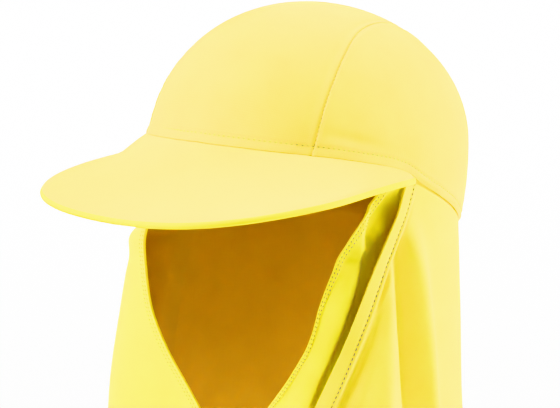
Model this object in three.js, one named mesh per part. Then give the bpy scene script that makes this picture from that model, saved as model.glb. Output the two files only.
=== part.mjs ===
// A legionnaire cap: a crown of three cloth panels, a stiff covered peak, a neck flap that hangs from
// the crown's edge and a chin panel inside it, whose hemmed edge frames the face.
// Millimetres. +X is the wearer's left, -Y is the front, +Z is up. The origin is the centre of the
// head opening, at the height of the crown's edge beside the ears.

import * as THREE from "three";
import { mergeVertices } from "three/addons/utils/BufferGeometryUtils.js";

// Sizes of the head opening and the crown
const crownHalfWidth = 86.5;
const crownFrontLength = 101.5;
const crownBackLength = 104.5;
const domeCentreHeight = 17;
const domeRise = 85.2;
const domeLean = 7.5;
const crownTuckIn = 0.35;
const edgeFrontHeight = 36;
const crownCloth = 2.0;

// Sizes of the peak
const peakHalfWidth = 97;
const peakReach = 71;
const peakTipDrop = 30;
const peakSideHeight = 13.5;
const peakThickness = 4.5;
const peakEndAngle = 81;
const peakEndOverhang = 2.5;
const peakDip = 4;
const peakCornering = 3.25;
const peakRimCurve = 1.6;

// Sizes of the flap and the chin panel
const flapDrop = 185;
const drapeStandOff = 7.5;
const drapeShortening = 4.5;
const drapeHalfWidth = crownHalfWidth + drapeStandOff;
const drapeHalfLength = crownFrontLength - drapeShortening;
const flapCloth = 1.6;
const tuck = 8;
const faceHalfWidth = 78;
const faceDrop = 151;
const flapHemWidth = 11;
const flapHemRise = 1.4;
const chinLap = 24;
const chinInset = 4;
const seamLap = 12;
const rollDepth = 5.5;
const rollStartDrop = 10;
const rollFullDrop = 50;
const cheekSwell = 15;
const puffSwell = 7.5;
const puffDrop = 37;
const puffHalfHeight = 9;
const foldDepth = 10;
const peakHangDrop = 26;
const edgeHangDrop = 11;

// Clearances
const seamGap = 0.4;
const layerGap = 0.9;
const seatGap = 1.0;

// The crown's edge, from the front round to the nape, as a share of its height at the front
const edgeRows = [
  { angle: 0, height: 1.0 },
  { angle: 20, height: 0.96 },
  { angle: 45, height: 0.83 },
  { angle: 62, height: 0.67 },
  { angle: 78, height: 0.44 },
  { angle: 90, height: 0.08 },
  { angle: 106, height: -0.33 },
  { angle: 128, height: -0.84 },
  { angle: 152, height: -1.08 },
  { angle: 180, height: -1.2 },
];

// The seams of the centre panel, over the top from front to nape, as a share of the crown's half width
const seamRows = [
  { angle: 0, offset: 0.67 },
  { angle: 22, offset: 0.695 },
  { angle: 50, offset: 0.667 },
  { angle: 70, offset: 0.605 },
  { angle: 90, offset: 0.51 },
  { angle: 115, offset: 0.42 },
  { angle: 180, offset: 0.38 },
];

// Level sections of the drape, as shares: drop of flapDrop, width of drapeHalfWidth,
// centre, front and back of drapeHalfLength, with how square the front is
const drapeRows = [
  { drop: -0.25, width: 0.87, centre: 0.0, front: 1.0, back: 1.0, square: 2.0 },
  { drop: -0.03, width: 0.87, centre: 0.0, front: 0.99, back: 1.0, square: 2.05 },
  { drop: 0.16, width: 0.92, centre: -0.06, front: 0.845, back: 1.0, square: 2.6 },
  { drop: 0.43, width: 0.97, centre: -0.165, front: 0.66, back: 1.085, square: 3.5 },
  { drop: 0.7, width: 1.0, centre: -0.26, front: 0.56, back: 1.18, square: 4.6 },
  { drop: 1.02, width: 1.04, centre: -0.26, front: 0.59, back: 1.18, square: 4.4 },
];

// Half of the face opening's edge, from the crown's edge down to its lowest point,
// as shares of faceDrop and faceHalfWidth
const faceRows = [
  { along: 0, drop: -0.16, width: 0.985 },
  { along: 0.12, drop: 0.0, width: 0.95 },
  { along: 0.26, drop: 0.16, width: 0.885 },
  { along: 0.4, drop: 0.34, width: 0.795 },
  { along: 0.52, drop: 0.49, width: 0.715 },
  { along: 0.64, drop: 0.63, width: 0.57 },
  { along: 0.75, drop: 0.75, width: 0.4 },
  { along: 0.86, drop: 0.86, width: 0.24 },
  { along: 0.95, drop: 0.96, width: 0.09 },
  { along: 1, drop: 1.0, width: 0.0 },
];

// The flap's front edge and the chin panel's rolled fold, as angles round from the front
const frontEdgeRows = [
  { drop: -0.25, flap: 90, roll: 66 },
  { drop: 0.02, flap: 76, roll: 63.5 },
  { drop: 0.11, flap: 70, roll: 62 },
  { drop: 0.2, flap: 65, roll: 61.5 },
  { drop: 0.36, flap: 58.5, roll: 57 },
  { drop: 0.6, flap: 49.5, roll: 49 },
  { drop: 1.02, flap: 35, roll: 37 },
];

// Folds of the hanging flap: angle at its top and bottom, half width in degrees, depth as a share of
// foldDepth, and the share of flapDrop at which the fold is fully formed
const foldRows = [
  { top: 69, bottom: 78, spread: 4.5, depth: 0.35, formed: 0.3 },
  { top: 71, bottom: 100, spread: 5, depth: -0.5, formed: 0.25 },
  { top: 71, bottom: 100, spread: 5, depth: -0.75, formed: 0.8 },
  { top: 80, bottom: 106, spread: 6, depth: 0.6, formed: 0.3 },
  { top: 80, bottom: 106, spread: 6, depth: 0.2, formed: 0.6 },
  { top: 140, bottom: 136, spread: 12, depth: 0.2, formed: 0.9 },
  { top: 160, bottom: 152, spread: 12, depth: -0.3, formed: 0.9 },
  { top: 185, bottom: 188, spread: 13, depth: 0.3, formed: 0.9 },
  { top: 214, bottom: 220, spread: 12, depth: -0.3, formed: 0.9 },
  { top: 245, bottom: 250, spread: 10, depth: 0.2, formed: 0.9 },
];

// Where the drape's forms lie round the head, in degrees from the front, and how softly they end
const edgeFreeTurn = 20;
const cheekTurn = -66;
const cheekSpread = 15;
const cheekDrop = 60;
const puffTurn = -68;
const puffSpread = 13;
const seamClearTurn = 12;
const rollTurnWidth = 4;
const rollTopShare = 0.75;
const hemStep = 0.5;

// Mesh steps
const crownSteps = 36;
const crownRowSteps = 7;
const peakSteps = 36;
const flapSteps = 64;
const flapDownSteps = 12;
const chinSteps = 60;
const chinRowSteps = 8;

const radians = THREE.MathUtils.degToRad;
const degrees = THREE.MathUtils.radToDeg;
const ease = (t) => THREE.MathUtils.smoothstep(t, 0, 1);
const lerp = THREE.MathUtils.lerp;
const bump = (x, middle, halfWidth) => Math.exp(-(((x - middle) / halfWidth) ** 2));

// A smooth curve through one column of a table, at the place x in its key column
function follow(rows, key, column, x) {
  const last = rows.length - 1;
  let i = 0;
  while (i < last - 1 && x > rows[i + 1][key]) i += 1;
  const slope = (k) => {
    const before = rows[Math.max(k - 1, 0)];
    const after = rows[Math.min(k + 1, last)];
    return (after[column] - before[column]) / (after[key] - before[key]);
  };
  const a = rows[i];
  const b = rows[i + 1];
  const span = b[key] - a[key];
  const t = THREE.MathUtils.clamp((x - a[key]) / span, 0, 1);
  const fromStart = (2 * t - 3) * t * t * a[column] + a[column] + t * (1 - t) * (1 - t) * span * slope(i);
  const fromEnd = (3 - 2 * t) * t * t * b[column] - t * t * (1 - t) * span * slope(i + 1);
  return fromStart + fromEnd;
}

// The crown's edge: its height at an angle round from the front, the same on both sides
function edgeHeight(angle) {
  const turned = Math.abs(((angle + 180) % 360 + 360) % 360 - 180);
  return edgeFrontHeight * follow(edgeRows, "angle", "height", turned);
}

// Half of the crown's length, towards its front or its back
function crownLength(angle) {
  return Math.cos(radians(angle)) > 0 ? crownFrontLength : crownBackLength;
}

// A point of the dome at an angle round and an elevation, pushed out by an offset.
// The top leans forward a little, and below its widest level the dome draws in.
function domePoint(angle, elevation, offset) {
  const level = Math.cos(radians(elevation));
  const radius = elevation >= 0 ? level : 1 - crownTuckIn * (1 - level);
  const lean = elevation >= 0 ? domeLean * Math.sin(radians(elevation)) ** 2 : 0;
  return new THREE.Vector3(
    (crownHalfWidth + offset) * radius * Math.sin(radians(angle)),
    -(crownLength(angle) + offset) * radius * Math.cos(radians(angle)) - lean,
    domeCentreHeight + (domeRise + offset) * Math.sin(radians(elevation)),
  );
}

function elevationAt(height, offset) {
  const share = (height - domeCentreHeight) / (domeRise + offset);
  return degrees(Math.asin(THREE.MathUtils.clamp(share, -1, 1)));
}

// A closed shell between two surfaces given over a grid of columns and rows
function shell(outer, inner, columns, rows, closed = false) {
  const points = [];
  const faces = [];
  const stride = rows + 1;
  const layer = (columns + 1) * stride;
  for (const surface of [outer, inner]) {
    for (let i = 0; i <= columns; i += 1) {
      for (let j = 0; j <= rows; j += 1) points.push(surface(i / columns, j / rows));
    }
  }
  const at = (side, i, j) => side * layer + i * stride + j;
  const quad = (a, b, c, d) => faces.push([a, b, c], [a, c, d]);
  for (let i = 0; i < columns; i += 1) {
    for (let j = 0; j < rows; j += 1) {
      quad(at(0, i, j), at(0, i + 1, j), at(0, i + 1, j + 1), at(0, i, j + 1));
      quad(at(1, i, j), at(1, i, j + 1), at(1, i + 1, j + 1), at(1, i + 1, j));
    }
    quad(at(0, i, 0), at(1, i, 0), at(1, i + 1, 0), at(0, i + 1, 0));
    quad(at(0, i, rows), at(0, i + 1, rows), at(1, i + 1, rows), at(1, i, rows));
  }
  for (let j = 0; j < rows && !closed; j += 1) {
    quad(at(0, 0, j), at(0, 0, j + 1), at(1, 0, j + 1), at(1, 0, j));
    quad(at(0, columns, j), at(1, columns, j), at(1, columns, j + 1), at(0, columns, j + 1));
  }
  return closedGeometry(points, faces);
}

// Points and faces as a geometry whose shared points are merged and whose empty faces are gone
function closedGeometry(points, faces) {
  const raw = new THREE.BufferGeometry();
  raw.setAttribute("position", new THREE.Float32BufferAttribute(points.flatMap((p) => [p.x, p.y, p.z]), 3));
  raw.setIndex(faces.flat());
  const merged = mergeVertices(raw, 0.01);
  const index = merged.getIndex().array;
  const kept = [];
  for (let k = 0; k < index.length; k += 3) {
    const [a, b, c] = [index[k], index[k + 1], index[k + 2]];
    if (a !== b && b !== c && c !== a) kept.push(a, b, c);
  }
  merged.setIndex(kept);
  if (signedVolume(merged) < 0) {
    const turned = [];
    for (let k = 0; k < kept.length; k += 3) turned.push(kept[k], kept[k + 2], kept[k + 1]);
    merged.setIndex(turned);
  }
  return merged;
}

function signedVolume(geometry) {
  const index = geometry.getIndex().array;
  const position = geometry.getAttribute("position");
  const corner = (k) => new THREE.Vector3().fromBufferAttribute(position, index[k]);
  let sum = 0;
  for (let k = 0; k < index.length; k += 3) sum += corner(k).dot(corner(k + 1).cross(corner(k + 2)));
  return sum / 6;
}

// Crown. The centre panel's lanes run over the top, from 0 degrees in front to 180 at the back,
// and from there straight down to the nape.
function lanePlace(side, over) {
  const across = side * follow(seamRows, "angle", "offset", over);
  const around = Math.sqrt(1 - across * across);
  const turned = radians(Math.min(over, 180));
  return {
    angle: degrees(Math.atan2(across, around * Math.cos(turned))),
    elevation: over > 180 ? 180 - over : degrees(Math.asin(around * Math.sin(turned))),
  };
}

// Where a lane meets the crown's edge, as degrees over the top
function laneFrontEnd(side) {
  let over = 0;
  for (let pass = 0; pass < 12; pass += 1) {
    const edge = radians(elevationAt(edgeHeight(lanePlace(side, over).angle), 0));
    const across = side * follow(seamRows, "angle", "offset", over);
    over = degrees(Math.asin(Math.sin(edge) / Math.sqrt(1 - across * across)));
  }
  return over;
}

function laneNapeEnd(side) {
  return 180 - elevationAt(edgeHeight(lanePlace(side, 180).angle), 0);
}

// Steps along a lane lie closer at its middle, over the top
function laneStep(side, along) {
  const share = along + 0.5 * Math.sin(2 * Math.PI * along) / (2 * Math.PI);
  return lerp(laneFrontEnd(side), laneNapeEnd(side), share);
}

// Half of a seam's gap, as a share of the centre panel's mean half width
function halfSeamShare() {
  const mean = seamRows.reduce((sum, row) => sum + row.offset, 0) / seamRows.length;
  return seamGap / 2 / (mean * crownHalfWidth);
}

function centrePanel() {
  const inset = 1 - halfSeamShare();
  const surface = (offset) => (along, across) => {
    const side = (1 - 2 * across) * inset;
    const { angle, elevation } = lanePlace(side, laneStep(side, along));
    return domePoint(angle, elevation, offset);
  };
  return shell(surface(0), surface(-crownCloth), crownSteps, crownRowSteps + 2);
}

function sidePanel(side) {
  const outset = side * (1 + halfSeamShare());
  const surface = (offset) => (along, down) => {
    const seam = lanePlace(outset, laneStep(outset, along));
    const edge = elevationAt(edgeHeight(seam.angle), 0);
    const atCorner = along === 0 || along === 1;
    return domePoint(seam.angle, lerp(seam.elevation, edge, atCorner ? 0 : down), offset);
  };
  return shell(surface(0), surface(-crownCloth), crownSteps, crownRowSteps);
}

// Peak. Each section runs from under the crown's edge out to the rounded outer edge and back.
function peakOuter(along) {
  const turn = radians(90 * along);
  const power = 2 / peakCornering;
  const sine = Math.abs(Math.sin(turn)) ** power;
  const endShare = 0.28;
  const nearEnd = ease((Math.abs(along) - 1) / endShare + 1);
  const x = Math.sign(along) * lerp(peakHalfWidth * sine, crownHalfWidth + peakEndOverhang, nearEnd);
  const back = crownFrontLength * Math.cos(radians(peakEndAngle));
  const y = -(back + (crownFrontLength + peakReach - back) * Math.cos(turn) ** power);
  const tip = edgeFrontHeight - peakTipDrop;
  return new THREE.Vector3(x, y, lerp(tip, peakSideHeight, (Math.abs(x) / peakHalfWidth) ** peakRimCurve));
}

function peak() {
  const seat = crownCloth + seamGap;
  const profile = [
    { out: 0.0, drop: 0.0 },
    { out: 0.22, drop: 0.0 },
    { out: 0.5, drop: 0.0 },
    { out: 0.78, drop: 0.0 },
    { out: 0.97, drop: 0.0 },
    { out: 1.0, drop: 0.3 },
    { out: 1.0, drop: 0.7 },
    { out: 0.97, drop: 1.0 },
    { out: 0.6, drop: 1.0 },
    { out: 0.25, drop: 1.0 },
    { out: 0.0, drop: 1.0 },
  ];
  const points = [];
  const faces = [];
  const ring = profile.length + 2;
  for (let i = 0; i <= peakSteps; i += 1) {
    const along = 2 * (i / peakSteps) - 1;
    const angle = peakEndAngle * along;
    const height = edgeHeight(angle);
    const level = elevationAt(height, 0);
    const rootIn = domePoint(angle, level, -crownCloth);
    const rootOut = domePoint(angle, level, seat - crownCloth);
    const lower = height - seatGap;
    rootIn.z = lower;
    rootOut.z = lower;
    const outer = peakOuter(along);
    points.push(rootIn);
    for (const { out, drop } of profile) {
      const p = rootOut.clone().lerp(outer, out);
      const dip = peakDip * 4 * out * (1 - out) * Math.cos(radians(angle));
      points.push(p.add(new THREE.Vector3(0, 0, -dip - drop * peakThickness)));
    }
    points.push(rootIn.clone().add(new THREE.Vector3(0, 0, -peakThickness)));
  }
  for (let i = 0; i < peakSteps; i += 1) {
    for (let k = 0; k < ring; k += 1) {
      const next = (k + 1) % ring;
      const [a, b, c, d] = [i * ring + k, (i + 1) * ring + k, (i + 1) * ring + next, i * ring + next];
      faces.push([a, b, c], [a, c, d]);
    }
  }
  for (const atStart of [true, false]) {
    const first = atStart ? 0 : peakSteps * ring;
    const centre = new THREE.Vector3();
    for (let k = 0; k < ring; k += 1) centre.addScaledVector(points[first + k], 1 / ring);
    const middle = points.push(centre) - 1;
    for (let k = 0; k < ring; k += 1) {
      const [a, b] = [first + k, first + (k + 1) % ring];
      faces.push(atStart ? [middle, a, b] : [middle, b, a]);
    }
  }
  return closedGeometry(points, faces);
}

// Drape. Its sections are level ovals, squared off in front, that the flap and chin panel hang along.
function drapeSection(height) {
  const drop = -height / flapDrop;
  const column = (name) => follow(drapeRows, "drop", name, drop);
  return {
    width: column("width") * drapeHalfWidth,
    centre: column("centre") * drapeHalfLength,
    front: column("front") * drapeHalfLength,
    back: column("back") * drapeHalfLength,
    square: column("square"),
  };
}

function drapePoint(turn, height, offset) {
  const section = drapeSection(height);
  const sine = Math.sin(radians(turn));
  const cosine = Math.cos(radians(turn));
  const reach = cosine > 0 ? section.front : section.back;
  const power = cosine > 0 ? section.square : 2;
  const sum = Math.abs(cosine / reach) ** power + Math.abs(sine / section.width) ** power;
  const radius = sum ** (-1 / power) + offset;
  return new THREE.Vector3(radius * sine, section.centre - radius * cosine, height);
}

// The dome's angle in a direction round the drape
function crownAngle(turn) {
  const x = Math.sin(radians(turn)) / crownHalfWidth;
  const y = Math.cos(radians(turn)) / crownLength(turn);
  return degrees(Math.atan2(x, y));
}

const edgeAbove = (turn) => edgeHeight(crownAngle(turn));

// A cloth hung from inside the crown's edge: under the edge it follows the crown, below it the drape.
// Behind the ends of the peak it comes out from under the edge at once.
function hungPoint(turn, height, offset, layer) {
  const angle = crownAngle(turn);
  const edge = edgeHeight(angle);
  const inside = -crownCloth - layer;
  const held = domePoint(angle, elevationAt(Math.max(height, edge), inside), inside);
  held.z = height;
  const behind = ease((Math.abs(angle) - peakEndAngle) / edgeFreeTurn);
  const start = lerp(peakThickness + seatGap, seatGap, behind);
  const drop = lerp(peakHangDrop, edgeHangDrop, behind);
  return held.lerp(drapePoint(turn, height, offset), ease((edge - start - height) / drop));
}

function flapFrontTurn(height) {
  return follow(frontEdgeRows, "drop", "flap", -height / flapDrop);
}

function rollTurn(height) {
  return follow(frontEdgeRows, "drop", "roll", -height / flapDrop);
}

// Rows of a hung cloth: the first is the tuck inside the crown's edge
function hungHeight(edge, down) {
  const first = 1 / flapDownSteps;
  if (down < first) return lerp(edge + tuck, edge - seatGap, down / first);
  return lerp(edge - seatGap, -flapDrop, (down - first) / (1 - first));
}

const arcDegrees = (length) => degrees(length / drapeHalfWidth);
const flapSeamTurn = arcDegrees(seamLap) - 90;

// How far the flap stands off the drape: its raised front hem and its folds
function flapOffset(turn, height) {
  const drop = -height / flapDrop;
  let offset = 0;
  for (const fold of foldRows) {
    const formed = ease(drop / fold.formed);
    offset += foldDepth * fold.depth * formed * bump(turn, lerp(fold.top, fold.bottom, drop), fold.spread);
  }
  const fromEdge = (turn - flapFrontTurn(height)) / arcDegrees(flapHemWidth);
  return offset + flapHemRise * ease((1 - fromEdge) / hemStep + hemStep);
}

function flap() {
  const seamTurn = 360 + flapSeamTurn;
  const surface = (thickness) => (along, down) => {
    const sample = (turn) => hungHeight(edgeAbove(turn), down);
    let turn = lerp(flapFrontTurn(0), seamTurn, along);
    for (let pass = 0; pass < 4; pass += 1) turn = lerp(flapFrontTurn(sample(turn)), seamTurn, along);
    const height = sample(turn);
    const offset = flapOffset(turn, height) - thickness;
    return hungPoint(turn, height, offset, layerGap + thickness);
  };
  return shell(surface(0), surface(flapCloth), flapSteps, flapDownSteps);
}

// Chin panel. Its columns run from the face opening's edge out to the seam, the lower hem or the lap.
function facePlace(along) {
  const side = Math.sign(along - 0.5);
  const share = 1 - Math.abs(2 * along - 1);
  const height = -faceDrop * follow(faceRows, "along", "drop", share);
  const x = faceHalfWidth * follow(faceRows, "along", "width", share);
  const section = drapeSection(height);
  const nearlyWhole = 0.995;
  const bounded = Math.min(x / (section.width - chinInset), nearlyWhole);
  const y = (section.front - chinInset) * (1 - bounded ** section.square) ** (1 / section.square);
  return { turn: side * degrees(Math.atan2(x, y)), height };
}

function chinOuterPlace(along) {
  const lapTurn = (height) => flapFrontTurn(height) + arcDegrees(chinLap);
  const seamShare = 0.3;
  const hemShare = 0.7;
  if (along < seamShare) {
    const top = edgeAbove(-90) + tuck;
    return { turn: -90, height: lerp(top, -flapDrop, along / seamShare) };
  }
  if (along < hemShare) {
    const share = (along - seamShare) / (hemShare - seamShare);
    return { turn: lerp(-90, lapTurn(-flapDrop), share), height: -flapDrop };
  }
  const share = (along - hemShare) / (1 - hemShare);
  const height = lerp(-flapDrop, edgeAbove(lapTurn(0)) + tuck, share);
  return { turn: lapTurn(height), height };
}

// How far the chin panel stands off the drape: swollen over the right cheek, puffed out a little
// under the peak's right end, and rolled inwards on the left, less so at its top
function chinOffset(turn, height) {
  const down = ease(-height / cheekDrop);
  const clearOfSeam = ease((turn - flapSeamTurn) / seamClearTurn);
  const swell = cheekSwell * down * clearOfSeam * bump(turn, cheekTurn, cheekSpread);
  const puff = puffSwell * bump(turn, puffTurn, puffSpread) * bump(height, -puffDrop, puffHalfHeight);
  const rollFormed = ease((-height - rollStartDrop) / (rollFullDrop - rollStartDrop));
  const rollShare = lerp(rollTopShare, 1, rollFormed);
  const rolled = rollDepth * rollShare * ease((turn - rollTurn(height)) / rollTurnWidth + 0.5);
  return swell + puff - chinInset - rolled;
}

function chinPanel() {
  const surface = (thickness) => (along, out) => {
    const inner = facePlace(along);
    const outer = chinOuterPlace(along);
    const turn = lerp(inner.turn, outer.turn, out);
    const height = lerp(inner.height, outer.height, out);
    const offset = chinOffset(turn, height) - thickness;
    return hungPoint(turn, height, offset, layerGap * 2 + flapCloth + thickness);
  };
  return shell(surface(0), surface(flapCloth), chinSteps, chinRowSteps);
}

// Materials and assembly
const cloth = (colour) => new THREE.MeshStandardMaterial({ color: colour, roughness: 0.8, metalness: 0 });
const crownYellow = cloth(0xfdf07a);
const peakYellow = cloth(0xfdee8c);
const flapYellow = cloth(0xfaea3c);
const chinYellow = cloth(0xf4e244);

function piece(name, geometry, material) {
  geometry.computeVertexNormals();
  const mesh = new THREE.Mesh(geometry, material);
  mesh.name = name;
  return mesh;
}

const cap = new THREE.Group();
cap.name = "legionnaire_cap";
cap.add(piece("crown_centre", centrePanel(), crownYellow));
cap.add(piece("crown_left", sidePanel(1), crownYellow));
cap.add(piece("crown_right", sidePanel(-1), crownYellow));
cap.add(piece("peak", peak(), peakYellow));
cap.add(piece("flap", flap(), flapYellow));
cap.add(piece("chin_panel", chinPanel(), chinYellow));

export default cap;
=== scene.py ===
# %% [markdown]
# # A sun cap with a neck flap
#
# This lesson dresses a cap made of thin stretch cloth. It has a rounded crown of three panels, a stiff
# covered peak, a flap that hangs from the crown's edge round the sides and the nape, and a chin panel
# inside it, whose stitched edge leaves an opening for the face.
#
# The plain solids of the cap are loaded first, as a frame at its real size. Everything made here is in
# metres in that frame: +X is the wearer's left, -Y the front and +Z up.

# %% Load the frame
import functools
import math

import bmesh
import bpy
from mathutils import Matrix, Vector, noise


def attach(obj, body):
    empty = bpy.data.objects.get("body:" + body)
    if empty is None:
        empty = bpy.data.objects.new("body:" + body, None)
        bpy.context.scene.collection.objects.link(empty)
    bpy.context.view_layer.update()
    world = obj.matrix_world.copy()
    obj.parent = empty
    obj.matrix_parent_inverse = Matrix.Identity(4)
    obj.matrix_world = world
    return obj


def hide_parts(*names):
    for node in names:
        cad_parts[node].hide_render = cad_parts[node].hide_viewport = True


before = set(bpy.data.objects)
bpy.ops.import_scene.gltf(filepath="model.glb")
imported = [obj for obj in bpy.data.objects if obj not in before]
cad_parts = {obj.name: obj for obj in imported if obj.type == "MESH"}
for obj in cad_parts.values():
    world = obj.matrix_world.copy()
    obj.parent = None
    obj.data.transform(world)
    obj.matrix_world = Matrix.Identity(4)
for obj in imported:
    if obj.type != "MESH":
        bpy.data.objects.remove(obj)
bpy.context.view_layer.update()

MM = 0.001

# %% [markdown]
# ## The camera
#
# A camera can be placed by hand, or worked out from a few measures of the picture. Here it is worked
# out: the direction it looks from, its small roll, its distance, and the pixel at which the middle of
# the head opening lies. A long lens from 1.8 m keeps the cap free of strong perspective.

# %% Place the camera
IMAGE_WIDTH = 560
IMAGE_HEIGHT = 408
CAMERA_AZIMUTH = math.radians(39)
CAMERA_ELEVATION = math.radians(12)
CAMERA_ROLL = math.radians(-1)
CAMERA_DISTANCE = 1.8
PIXELS_PER_METRE = 1720
ORIGIN_PIXEL = (309, 175.45)
SENSOR_MM = 36


def make_camera():
    level = math.cos(CAMERA_ELEVATION)
    back = Vector((
        math.sin(CAMERA_AZIMUTH) * level,
        -math.cos(CAMERA_AZIMUTH) * level,
        math.sin(CAMERA_ELEVATION),
    ))
    right = Vector((math.cos(CAMERA_AZIMUTH), math.sin(CAMERA_AZIMUTH), 0))
    turn = Matrix.Rotation(CAMERA_ROLL, 3, back)
    right = turn @ right
    up = back.cross(right)
    across = (ORIGIN_PIXEL[0] - IMAGE_WIDTH / 2) / PIXELS_PER_METRE
    down = (IMAGE_HEIGHT / 2 - ORIGIN_PIXEL[1]) / PIXELS_PER_METRE
    aim = -across * right - down * up
    camera_data = bpy.data.cameras.new("camera")
    camera_data.sensor_width = SENSOR_MM
    camera_data.lens = PIXELS_PER_METRE * CAMERA_DISTANCE / IMAGE_WIDTH * SENSOR_MM
    camera_data.clip_start = 0.05
    camera_data.clip_end = 50
    camera = bpy.data.objects.new("camera", camera_data)
    camera.matrix_world = Matrix.Translation(aim + CAMERA_DISTANCE * back) @ Matrix(
        (right, up, back)).transposed().to_4x4()
    bpy.context.collection.objects.link(camera)
    bpy.context.scene.camera = camera
    return camera


camera = make_camera()
print("Camera at", [round(x, 3) for x in camera.location], "lens", round(camera.data.lens, 1), "mm")

# %% [markdown]
# ## The studio
#
# The cap hangs free in front of bright white. One big lamp would do, but it leaves the peak's underside
# and the folds black. Five weak soft boxes round the cap keep the shadows soft: the strongest stand on
# the picture's left and right, a low one in front brightens the cloth under the peak, and little light
# comes from where the camera stands, so that folds stay dark. The floor lies well below the cap and
# throws little light up into it. Four lamps shine straight down on it, which makes it pure white.

# %% Build the studio
FLOOR_HEIGHT = -0.35
FLOOR_SIZE = 16
FLOOR_WHITE = (0.95, 0.95, 0.95, 1)
ROOM_LIGHT = 0.24
SOFT_BOX_DISTANCE = 2.1
SOFT_BOX_SPREAD = 50
# Name, azimuth and elevation in degrees, size in metres, and power in watts
SOFT_BOXES = [
    ("left_light", -50, 45, 0.9, 7.5),
    ("front_light", -8, 22, 0.9, 3.5),
    ("right_light", 140, 20, 0.9, 10.5),
    ("top_light", -20, 75, 1.0, 3.5),
    ("back_light", 215, 50, 0.9, 2),
]
FLOOR_LAMP_REACH = 2.8
FLOOR_LAMP_HEIGHT = 2.6
FLOOR_LAMP_SIZE = 2.6
FLOOR_LAMP_SPREAD = 60
# Azimuth and power of each lamp over the floor: the strongest hangs behind the cap, as the camera sees it
FLOOR_LAMPS = [(219, 700), (129, 200), (309, 100), (39, 30)]


def place_round(azimuth, level, height):
    """A place at a level distance from the cap, in a direction in degrees from the front."""
    turn = math.radians(azimuth)
    return Vector((level * math.sin(turn), -level * math.cos(turn), height))


def lamp(name, place, direction, size, power, spread):
    """A round soft lamp."""
    lamp_data = bpy.data.lights.new(name, "AREA")
    lamp_data.shape = "DISK"
    lamp_data.size = size
    lamp_data.energy = power
    lamp_data.spread = math.radians(spread)
    made = bpy.data.objects.new(name, lamp_data)
    made.location = place
    made.rotation_euler = direction.to_track_quat("-Z", "Y").to_euler()
    bpy.context.collection.objects.link(made)


def white_floor():
    bm = bmesh.new()
    bmesh.ops.create_grid(bm, x_segments=4, y_segments=4, size=FLOOR_SIZE / 2,
                          matrix=Matrix.Translation((0, 0, FLOOR_HEIGHT)))
    mesh = bpy.data.meshes.new("floor")
    bm.to_mesh(mesh)
    bm.free()
    material = bpy.data.materials.new("white_floor")
    material.use_nodes = True
    shader = material.node_tree.nodes["Principled BSDF"]
    shader.inputs["Base Color"].default_value = FLOOR_WHITE
    shader.inputs["Roughness"].default_value = 0.9
    mesh.materials.append(material)
    floor = bpy.data.objects.new("floor", mesh)
    bpy.context.collection.objects.link(floor)


white_floor()
for name, azimuth, elevation, size, power in SOFT_BOXES:
    rise = math.radians(elevation)
    place = place_round(azimuth, SOFT_BOX_DISTANCE * math.cos(rise), SOFT_BOX_DISTANCE * math.sin(rise))
    lamp(name, place, -place, size, power, SOFT_BOX_SPREAD)
for azimuth, power in FLOOR_LAMPS:
    place = place_round(azimuth, FLOOR_LAMP_REACH, FLOOR_LAMP_HEIGHT)
    lamp(f"floor_light_{azimuth}", place, Vector((0, 0, -1)), FLOOR_LAMP_SIZE, power, FLOOR_LAMP_SPREAD)

world = bpy.data.worlds.new("room")
world.use_nodes = True
world.node_tree.nodes["Background"].inputs["Color"].default_value = (1, 1, 1, 1)
world.node_tree.nodes["Background"].inputs["Strength"].default_value = ROOM_LIGHT
bpy.context.scene.world = world
bpy.context.scene.view_settings.view_transform = "Khronos PBR Neutral"
print("Studio: white floor at", FLOOR_HEIGHT, "m,", len(SOFT_BOXES), "soft boxes and",
      len(FLOOR_LAMPS), "floor lamps")

# %% [markdown]
# ## Sizes
#
# These are the measures that a cap maker would write on the pattern, in metres. The tables under them
# hold only shares of these measures, or angles round the head from the front, so that a bigger cap
# needs only bigger measures.

# %% Name the sizes
CROWN_HALF_WIDTH = 86.5 * MM
CROWN_FRONT_LENGTH = 101.5 * MM
CROWN_BACK_LENGTH = 104.5 * MM
DOME_CENTRE = 17 * MM
DOME_RISE = 85.2 * MM
DOME_LEAN = 7.5 * MM
DOME_TUCK_IN = 0.35
EDGE_FRONT = 36 * MM
CROWN_CLOTH = 2.0 * MM

PEAK_HALF_WIDTH = 97 * MM
PEAK_REACH = 71 * MM
PEAK_TIP_DROP = 30 * MM
PEAK_SIDE_HEIGHT = 13.5 * MM
PEAK_THICKNESS = 4.5 * MM
PEAK_END_ANGLE = 81
PEAK_END_OVERHANG = 2.5 * MM
PEAK_DIP = 4 * MM
PEAK_CORNERING = 3.25
PEAK_RIM_CURVE = 1.6

FLAP_DROP = 185 * MM
DRAPE_HALF_WIDTH = CROWN_HALF_WIDTH + 7.5 * MM
DRAPE_HALF_LENGTH = CROWN_FRONT_LENGTH - 4.5 * MM
PEAK_HANG_DROP = 26 * MM
EDGE_HANG_DROP = 8 * MM
EDGE_FREE_TURN = 20
SEAT_GAP = 1 * MM
FLAP_CLOTH = 1.6 * MM
TUCK = 8 * MM
FACE_HALF_WIDTH = 78 * MM
FACE_DROP = 151 * MM
FLAP_HEM_WIDTH = 11 * MM
CHIN_LAP = 24 * MM
CHIN_INSET = 4 * MM
SEAM_LAP = 12 * MM
ROLL_DEPTH = 5.5 * MM
CHEEK_SWELL = 15 * MM
LAYER_GAP = 0.9 * MM
FLUSH_OFFSET = -0.7 * MM
FLUSH_DROP = 1.6 * MM
FLUSH_END_TURN = 140
FLUSH_FADE = 25

# Angle from the front, then the height of the crown's edge as a share of its height in front
EDGE_ROWS = [
    (0, 1.0), (20, 0.96), (45, 0.83), (62, 0.67), (78, 0.44),
    (90, 0.08), (106, -0.33), (128, -0.84), (152, -1.08), (180, -1.2),
]
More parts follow.
